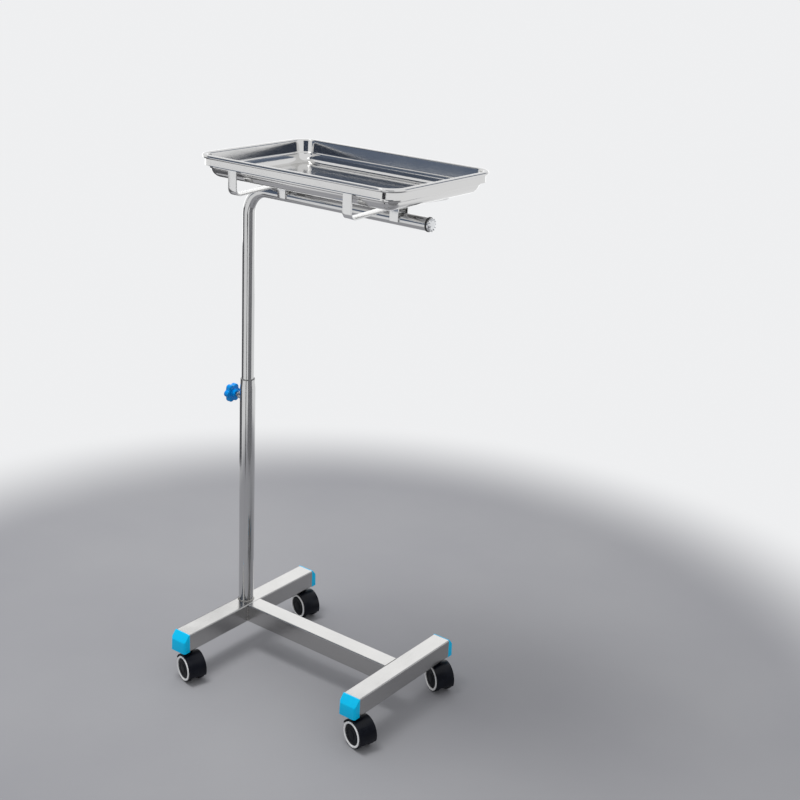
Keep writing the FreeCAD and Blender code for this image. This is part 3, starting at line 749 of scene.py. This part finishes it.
def knob_ring(inset):
    """(y, z) points of the lobed outline, moved inwards by inset."""
    half_step = math.pi / lobes
    lobe_centre = knob_radius - lobe_radius
    reach = lobe_radius + valley_radius
    across = lobe_centre * math.sin(half_step)
    valley_centre = lobe_centre * math.cos(half_step) + math.sqrt(reach**2 - across**2)
    lean = math.asin(across / reach)
    shares = [step / arc_steps for step in range(-arc_steps, arc_steps + 1)]
    points = []
    for lobe in range(lobes):
        turn = 2 * half_step * lobe
        centre = (lobe_centre * math.cos(turn), lobe_centre * math.sin(turn))
        angles = [turn + (half_step + lean) * share for share in shares]
        points += knob_arc(centre, lobe_radius - inset, angles)
        middle = turn + half_step
        centre = (valley_centre * math.cos(middle), valley_centre * math.sin(middle))
        angles = [middle + math.pi - lean * share for share in shares[1:-1]]
        points += knob_arc(centre, valley_radius + inset, angles)
    return points


print("knob outline:", len(knob_ring(0)), "points")


# %% Knob
hub_radius = 8.5 * mm
hub_length = 8.0 * mm
hub_edge = 0.7 * mm
hub_foot = 0.8 * mm
knob_edge = 2.5 * mm
edge_steps = 6
# radius and depth below the outer face, in millimetres
recess_line = [(8.6, 0), (8.0, 0.4), (7.7, 1.3), (7.1, 1.5), (4.2, 1.5), (3.8, 1.0), (0, 0.8)]


def knob_layers():
    """(outline, x) pairs from the hub's inner end to the middle of the outer face."""
    turns = [math.atan2(z, y) for y, z in knob_ring(0)]
    inner = clamp_high.x
    back = inner - hub_length
    front = clamp_low.x

    def circle(radius):
        return [(radius * math.cos(turn), radius * math.sin(turn)) for turn in turns]

    def rim(k):
        lean = math.pi / 2 * k / edge_steps
        return knob_ring(knob_edge * (1 - math.sin(lean))), knob_edge * (1 - math.cos(lean))

    rims = [rim(k) for k in range(edge_steps + 1)]
    layers = [(circle(0), inner), (circle(hub_radius - hub_edge), inner)]
    layers += [(circle(hub_radius), inner - hub_edge), (circle(hub_radius), back + hub_foot)]
    layers += [(circle(hub_radius + hub_foot), back)]
    layers += [(ring, back - depth) for ring, depth in rims]
    layers += [(ring, front + depth) for ring, depth in rims[::-1]]
    return layers + [(circle(radius * mm), front + depth * mm) for radius, depth in recess_line]


def stacked(name, layers, place):
    """A closed skin over a stack of outlines that all have the same number of points."""
    work = bmesh.new()
    rings = [[work.verts.new(place(y, z, x)) for y, z in outline] for outline, x in layers]
    for low, high in zip(rings, rings[1:]):
        for k in range(len(low)):
            j = (k + 1) % len(low)
            work.faces.new((low[k], low[j], high[j], high[k]))
    bmesh.ops.dissolve_degenerate(work, edges=work.edges, dist=1e-7)
    return clean(work, name)


knob_mesh = stacked("knob_lobed", knob_layers(), lambda y, z, x: (x, column_y + y, clamp_z + z))
add_piece("knob_lobed", knob_mesh, ["clamp_knob"], knob_blue)
print("knob faces:", len(knob_mesh.polygons))

# %% [markdown]
# The clamp screw shows between the knob and its boss, so it gets a real M8 thread: a ridge that
# climbs a slightly thinner core by 1.25 mm each turn. A helix is a rule, so the recipe makes it
# from its radius, pitch and length.

# %% Thread recipe
pitch = 1.25 * mm
ridge = 0.6 * mm
thread_recipe = Recipe("screw_thread", Radius=3.4 * mm, Pitch=pitch, Length=10 * mm, Ridge=ridge)
given = thread_recipe.given
turns = thread_recipe.calculate("DIVIDE", given["Length"], given["Pitch"])
helix = {"Resolution": 32, "Rotations": turns, "Height": given["Length"]}
helix.update({"Start Radius": given["Radius"], "End Radius": given["Radius"]})
path = thread_recipe.add("GeometryNodeCurveSpiral", helix)
ridge_section = {"Resolution": 6, "Radius": given["Ridge"]}
thread_recipe.sweep(path, thread_recipe.add("GeometryNodeCurvePrimitiveCircle", ridge_section))

# %% Clamp screw
any_line = [(0, 0, 0), (0, 0, 1)]  # for a recipe that doesn't use its starting line
z_to_x = Matrix.Rotation(math.pi / 2, 4, "Y")
stud_low, stud_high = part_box("clamp_stud")
stud_radius = (stud_high.z - stud_low.z) / 2
ridge_sunk = 0.35 * mm
core = stud_radius - 2 * ridge + ridge_sunk
stud_length = stud_high.x - stud_low.x
core_profile = rounded([(0, 0), (core, 0), (core, stud_length), (0, stud_length)], 0.4 * mm)
core_mesh = turned("stud_core", core_profile, (stud_low.x, column_y, clamp_z), (1, 0, 0), 32)
ridge_sizes = {"Radius": stud_radius - ridge, "Length": stud_length - 3 * ridge}
ridge_mesh = grown(thread_recipe, any_line, zinc, **ridge_sizes)
ridge_start = (stud_low.x + 1.5 * ridge, column_y, clamp_z)
ridge_mesh.transform(Matrix.Translation(ridge_start) @ z_to_x)
work = reworked(core_mesh)
work.from_mesh(ridge_mesh)
add_piece("stud_threaded", clean(work, "stud_threaded"), ["clamp_stud"], zinc)
print("thread: pitch", pitch / mm, "mm over", round(stud_length / mm, 1), "mm")

# %% [markdown]
# The arm's end
#
# A dark collar and a bright chromed plug close the open end of the arm. The plug's low dome has
# short ribs round it for grip. One rib is a small flattened ball, and the recipe sets copies of
# it round a circle, turned to point outwards.

# %% Rib recipe
rib_recipe = Recipe("ring_of_ribs", Count=12, Radius=9 * mm, Rib=1.9 * mm, Stretch=1.5)
given = rib_recipe.given
circle = {"Vertices": given["Count"], "Radius": given["Radius"]}
spots = rib_recipe.add("GeometryNodeMeshCircle", circle)
outward = rib_recipe.add("GeometryNodeInputPosition", {})
turn = rib_recipe.add("FunctionNodeAlignRotationToVector", {"Vector": outward}, axis="X")
ball_sizes = {"Segments": 12, "Rings": 8, "Radius": given["Rib"]}
ball = rib_recipe.add("GeometryNodeMeshUVSphere", ball_sizes)
shape = rib_recipe.add("ShaderNodeCombineXYZ", {"X": given["Stretch"], "Y": 0.7, "Z": 0.8})
set_round = {"Points": spots, "Instance": ball, "Rotation": turn, "Scale": shape}
rib_recipe.end(rib_recipe.add("GeometryNodeInstanceOnPoints", set_round))

# %% Plug
plug_low, plug_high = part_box("arm_plug")
collar_low, collar_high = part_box("arm_plug_collar")
collar_face = collar_high.x
cap_radius = 12.0 * mm
cap_rim = 3.0 * mm
cap_edge = 0.5 * mm
spigot_radius = 8.5 * mm
spigot_end = plug_low.x - collar_face
dome_rise = plug_high.x - collar_face - cap_rim
dome_turns = [math.pi / 2 * k / 10 for k in range(10)]
shoulder = [(spigot_radius, 0), (cap_radius, 0), (cap_radius, cap_rim)]
plug_profile = [(0, spigot_end), (spigot_radius, spigot_end), (spigot_radius, 0)]
plug_profile += rounded(shoulder, cap_edge)[1:-1]
plug_profile += [(cap_radius * math.cos(t), cap_rim + dome_rise * math.sin(t)) for t in dome_turns]
plug_profile.append((0, cap_rim + dome_rise))
arm_axis = (1, 0, 0)
plug_mesh = turned("plug_domed", plug_profile, (collar_face, column_y, arm_z), arm_axis, 64)
rib_mesh = grown(rib_recipe, any_line, plug_bright, Radius=9.6 * mm)
rib_place = (collar_face + cap_rim + dome_rise * 0.55, column_y, arm_z)
rib_mesh.transform(Matrix.Translation(rib_place) @ z_to_x)
work = reworked(plug_mesh)
work.from_mesh(rib_mesh)
add_piece("plug_domed", clean(work, "plug_domed"), ["arm_plug"], plug_bright)
print("plug stands", round((plug_high.x - mast_high.x) / mm, 1), "mm out of the arm")

# %% Collar
collar_radius = (collar_high.z - collar_low.z) / 2
in_tube = mast_radius - wall - 0.05 * mm
collar_in, collar_out = collar_low.x - mast_high.x, collar_face - mast_high.x
collar_line = [(spigot_radius, collar_in), (in_tube, collar_in), (in_tube, 0)]
collar_line += [(collar_radius, 0), (collar_radius, collar_out), (spigot_radius, collar_out)]
collar_line = rounded(collar_line, 0.6 * mm, closed=True)
arm_end = (mast_high.x, column_y, arm_z)
collar_mesh = turned("collar_turned", collar_line, arm_end, arm_axis, 64, True)
add_piece("collar_turned", collar_mesh, ["arm_plug_collar"], bearing_dark)
print("collar reaches", round(-collar_in / mm, 1), "mm into the arm")

# %% [markdown]
# Weld beads
#
# The column stands in a ring of weld, and four upright beads hold the cross tube. A welder
# lays such a bead as a row of overlapping puddles, which leaves fine ripples. The recipe
# sweeps a circle along the joint and lets its size rise and fall with the distance along it.

# %% Weld recipe
bead_recipe = Recipe("weld_bead", Radius=1.6 * mm, Pitch=1.4 * mm, Ripple=0.12)
given, calculate = bead_recipe.given, bead_recipe.calculate
fine = {"Curve": bead_recipe.line(), "Length": 0.3 * mm}
path = bead_recipe.add("GeometryNodeResampleCurve", fine, mode="LENGTH")
along = bead_recipe.add("GeometryNodeSplineParameter", {}, "Length")
turn = calculate("MULTIPLY", calculate("DIVIDE", along, given["Pitch"]), math.pi)
wave = calculate("ABSOLUTE", calculate("SINE", turn))
size = calculate("SUBTRACT", 1.0, calculate("MULTIPLY", wave, given["Ripple"]))
puddle = {"Resolution": 12, "Radius": given["Radius"]}
section = bead_recipe.add("GeometryNodeCurvePrimitiveCircle", puddle)
bead_recipe.sweep(path, section, Scale=size)

# %% Column weld
bead_offset = 0.4 * mm
foot_radius = column_radius + bead_offset
foot_z = column_low.z + bead_offset
foot_circle = circle_points(foot_radius, 96)
foot_ring = [(column_x + x, column_y + y, foot_z) for x, y in foot_circle]
foot_mesh = clean(reworked(grown(bead_recipe, foot_ring, weld_steel, True)), "weld_column", 60)
add_piece("weld_column", foot_mesh, ["column_weld"], weld_steel)
print("column weld:", len(foot_mesh.polygons), "faces")

# %% Cross tube welds
cross_low, cross_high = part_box("cross_tube")
bead_end = 3.5 * mm
work = bmesh.new()
for x, x_side in ((cross_low.x, 1), (cross_high.x, -1)):
    for y, y_side in ((cross_low.y, -1), (cross_high.y, 1)):
        spot = (x + x_side * bead_offset, y + y_side * bead_offset)
        ends = [(*spot, cross_low.z + bead_end), (*spot, cross_high.z - bead_end)]
        work.from_mesh(grown(bead_recipe, ends, weld_steel))
add_piece("weld_cross", clean(work, "weld_cross", 60), ["cross_welds"], weld_steel)
print("cross tube welds: 4")

# %% [markdown]
# The casters
#
# Each caster has a black hood on a swivel pin and two wheels, one on each side of the hood's
# web. A white ring trims each wheel's face. All four casters are the same, so each piece is
# made once in the caster's own frame, with the swivel axis upright through the origin, and
# then copied to its place. The frame's joints say where each caster stands and how far it is
# turned.

# %% Caster places
wheel_radius = 28.5 * mm
wheel_face = 20.3 * mm
inner_face = 7.6 * mm
trail = 16.0 * mm
joint_of = {joint["child"]: joint for joint in frame["joints"]}
print("casters at", [[round(v, 3) for v in joint_of["caster_" + c]["pos_m"][:2]] for c in corners])


def caster_place(corner):
    """The matrix that takes a caster from its own frame to its corner of the base."""
    axis = joint_of["wheel_outer_" + corner]["axis"]
    foot = joint_of["caster_" + corner]["pos_m"]
    turn = Matrix.Rotation(math.atan2(-axis[0], axis[1]), 4, "Z")
    return Matrix.Translation((foot[0], foot[1], 0)) @ turn


def at_every_corner(name, mesh, node, material):
    """Copies a piece that was made in the caster's frame to all four corners."""
    for corner in corners:
        copy = mesh.copy()
        copy.transform(caster_place(corner))
        add_piece(name + "_" + corner, copy, [node + "_" + corner], material)


# %% Wheels and rings
ring_outer = 26.5 * mm
ring_inner = 22.0 * mm
groove = wheel_face - 3.0 * mm
ring_front = wheel_face + 0.4 * mm
axle_point = (trail, 0, wheel_radius)
bore = 3.06 * mm

# radius and depth below the face next to the web, then below the outer face, in millimetres
web_side = [(8.0, 0), (8.6, 1.2), (20.0, 1.2), (20.6, 0), (26.3, 0), (28.5, 2.6)]
outer_side = [(28.5, 2.6), (26.55, 0.3), (26.55, 3.0), (21.95, 3.0), (21.95, 1.3)]
outer_side += [(14.0, 0.5), (13.4, 1.1), (9.0, 0.9), (8.2, 0), (0, -0.35)]
wheel_line = [(0, groove), (bore, groove), (bore, inner_face)]
wheel_line += [(radius * mm, inner_face + depth * mm) for radius, depth in web_side]
wheel_line += [(radius * mm, wheel_face - depth * mm) for radius, depth in outer_side]
ring_line = [(ring_inner, groove), (ring_outer, groove)]
ring_line += [(ring_outer, ring_front), (ring_inner, ring_front)]
wheel_profile = rounded(wheel_line, 0.6 * mm, 3)
ring_profile = rounded(ring_line, 1.3 * mm, 5, closed=True)
for side, label in ((-1, "outer"), (1, "inner")):
    spin = (0, side, 0)
    wheel_mesh = turned("wheel_turned_" + label, wheel_profile, axle_point, spin, 96)
    at_every_corner("wheel_turned_" + label, wheel_mesh, "wheel_" + label, tread_black_and_sheen)
    ring_mesh = turned("ring_turned_" + label, ring_profile, axle_point, spin, 96, True)
    at_every_corner("ring_turned_" + label, ring_mesh, "wheel_ring_" + label, ring_white)
print("wheel faces:", len(wheel_mesh.polygons), "ring faces:", len(ring_mesh.polygons))

# %% [markdown]
# The hood is a moulding with soft edges everywhere. Its solid already joins the web, the curved
# cover and the round head into one body, so a copy of it gets its sharp edges bevelled.

# %% Hoods
for corner in corners:
    softened("hood_soft_" + corner, "caster_hood_" + corner, 0.5 * mm, hood_black_and_sheen)
print("hoods:", len(corners))

# %% [markdown]
# The studio
#
# The floor is grey up to a metre from its middle and turns nearly white over the next half
# metre, as a studio floor does where it meets a pale wall. The far part takes its tone from a
# flat colour that camera rays and mirror rays see, so it stays even however the lamps stand. The
# near part is an ordinary surface, which keeps the stand's shadow. The colour follows the
# distance from the middle, the same in every direction.

# %% Rays that see the studio itself
def direct_rays(tree):
    """A socket that is 1 for camera, mirror and glass rays and 0 for all others."""
    paths = tree.nodes.new("ShaderNodeLightPath").outputs
    seen = paths["Is Camera Ray"]
    for kind in ("Is Glossy Ray", "Is Transmission Ray"):
        seen = add_node(tree, "ShaderNodeMath", {0: seen, 1: paths[kind]}, operation="MAXIMUM")
    return seen


# %% Floor
floor_reach = 60.0
grey_reach = 1.0
pale_reach = 1.5
pale = (0.86, 0.865, 0.875, 1)
floor_mesh = bpy.data.meshes.new("studio_floor")
floor_edge = [(x, y, 0) for x, y in circle_points(floor_reach, 64)]
floor_mesh.from_pydata(floor_edge, [], [range(64)])
floor = new_object("studio_floor", floor_mesh)
floor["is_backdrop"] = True

floor_finish = Finish("studio_floor", (0.34, 0.34, 0.355), 0.0, 0.35)
floor_finish.shader.inputs["Specular IOR Level"].default_value = 0.0
patches = floor_finish.between(floor_finish.noise(1.6, 5.0), 0.0, 1.0)
floor_finish.tint(patches, (0.335, 0.335, 0.355), (0.37, 0.37, 0.385))

tree = floor_finish.tree
place = {0: floor_finish.place}
distance = add_node(tree, "ShaderNodeVectorMath", place, "Value", operation="LENGTH")
spans = {"Value": distance, "From Min": grey_reach, "From Max": pale_reach}
fade = add_node(tree, "ShaderNodeMapRange", spans, "Result", interpolation_type="SMOOTHSTEP")
share = add_node(tree, "ShaderNodeMath", {0: fade, 1: direct_rays(tree)}, operation="MULTIPLY")
far_tone = add_node(tree, "ShaderNodeEmission", {"Color": pale, "Strength": 1.0})
layers = {0: share, 1: floor_finish.shader.outputs[0], 2: far_tone}
mixed = add_node(tree, "ShaderNodeMixShader", layers)
tree.links.new(mixed, tree.nodes["Material Output"].inputs["Surface"])
floor_mesh.materials.append(floor_finish.material)
print("floor: grey to", grey_reach, "m, pale from", pale_reach, "m")

# %% [markdown]
# Soft light comes from everywhere, with a large lamp overhead and a wide, weak one behind the
# stand, which the level tubes of the base mirror towards the camera. Mirror rays don't see the
# large lamp, which would bleach the tray, so a small one beside it gives the steel its
# highlights. The world has one colour for what camera and mirror rays see and another for what
# lights the stand. Cards are seen only in reflections, as a photographer would hang them. The
# near ones draw the stripes on the mast and the column, the far ones the tray's blue-grey.

# %% World
world = bpy.data.worlds.new("studio_world")
bpy.context.scene.world = world
world.use_nodes = True
tree = world.node_tree
backdrop = tree.nodes["Background"]
backdrop.inputs["Color"].default_value = pale
backdrop.inputs["Strength"].default_value = 1.0
sky = {"Color": (0.97, 0.98, 1.0, 1), "Strength": 0.62}
ambient = add_node(tree, "ShaderNodeBackground", sky)
either = {0: direct_rays(tree), 1: ambient, 2: backdrop.outputs[0]}
choose = add_node(tree, "ShaderNodeMixShader", either)
tree.links.new(choose, tree.nodes["World Output"].inputs["Surface"])
print("sky strength:", sky["Strength"])


# %% Lamps
def soft_lamp(name, place, target, width, height, power, mirrored=True):
    """A rectangular soft lamp that points at a target and isn't in the picture itself."""
    data = bpy.data.lights.new(name, "AREA")
    data.shape = "RECTANGLE"
    data.size, data.size_y = width, height
    data.energy = power
    light = new_object(name, data)
    light.location = place
    light.rotation_euler = (Vector(target) - Vector(place)).to_track_quat("-Z", "Y").to_euler()
    light.visible_camera = False
    light.visible_glossy = mirrored


def from_camera(degrees, distance, height):
    """A point at a bearing from the stand, counted clockwise from the camera's direction."""
    bearing = math.atan2(camera_place.y, camera_place.x - column_x) - math.radians(degrees)
    return Vector((column_x + distance * math.cos(bearing), distance * math.sin(bearing), height))


soft_lamp("overhead_lamp", (-0.6, -0.5, 3.4), (0, 0, 0.3), 1.2, 1.2, 50, mirrored=False)
soft_lamp("sparkle_lamp", (-0.6, -0.5, 3.3), (0, 0, 0.3), 0.4, 0.4, 2.0)
soft_lamp("back_lamp", from_camera(180, 1.2, 0.85), (column_x, 0, 0.85), 2.6, 0.8, 4.2)
print("lamps:", len(bpy.data.lights))


# %% Cards
def card(name, centre, target, width, height, tone):
    """A flat card that faces a target and shows only in mirror reflections."""
    mesh = bpy.data.meshes.new(name)
    spots = [(-1, -1), (1, -1), (1, 1), (-1, 1)]
    mesh.from_pydata([(x * width / 2, y * height / 2, 0) for x, y in spots], [], [(0, 1, 2, 3)])
    facing = (target - centre).to_track_quat("Z", "Y").to_matrix().to_4x4()
    mesh.transform(Matrix.Translation(centre) @ facing)
    mesh.materials.append(Finish(name, tone, 0.0, 0.9).material)
    panel = new_object(name, mesh)
    panel.visible_camera = panel.visible_diffuse = panel.visible_shadow = False
    panel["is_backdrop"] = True


def upright_card(name, degrees, distance, low, high, width, tone):
    """A card that stands at a bearing from the camera's direction and faces the column."""
    centre = from_camera(degrees, distance, (low + high) / 2)
    card(name, centre, Vector((column_x, 0, centre.z)), width, high - low, tone)


blue_grey = (0.19, 0.24, 0.33)
black = (0.015, 0.015, 0.02)
tray_level = Vector((0, 0, 1.0))
card("card_ceiling_left", Vector((-2.6, -1.4, 3.9)), tray_level, 2.0, 2.2, blue_grey)
upright_card("card_far_left", 76, 3.4, 0.65, 3.2, 3.0, blue_grey)
upright_card("card_far_right", -100, 3.4, 2.0, 3.4, 3.0, blue_grey)
upright_card("card_above_camera", 0, 3.4, 1.35, 3.0, 2.4, (0.06, 0.08, 0.12))
upright_card("card_for_corner", 26, 2.4, 0.35, 0.8, 0.8, black)
upright_card("card_left_of_camera", 25, 1.0, 0.0, 0.83, 0.16, black)
upright_card("card_right_of_camera", -36, 1.0, 0.0, 0.83, 1.3, (0.30, 0.30, 0.31))
upright_card("card_left", 112, 1.0, 0.0, 0.83, 0.8, (0.20, 0.20, 0.21))
upright_card("card_behind_left", 155, 1.0, 0.0, 0.66, 0.8, (0.14, 0.14, 0.15))

bpy.context.scene.view_settings.view_transform = "Standard"

# %% [markdown]
# Sizes
#
# The dressed model has to stay as large as the solids. The box of the solids, kept from the
# start, and the box of what shows now are printed side by side.

# %% Print sizes and finish
visual_low, visual_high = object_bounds()
for label, size in (("solids", cad_high - cad_low), ("dressed", visual_high - visual_low)):
    print(label, [round(v, 4) for v in size])
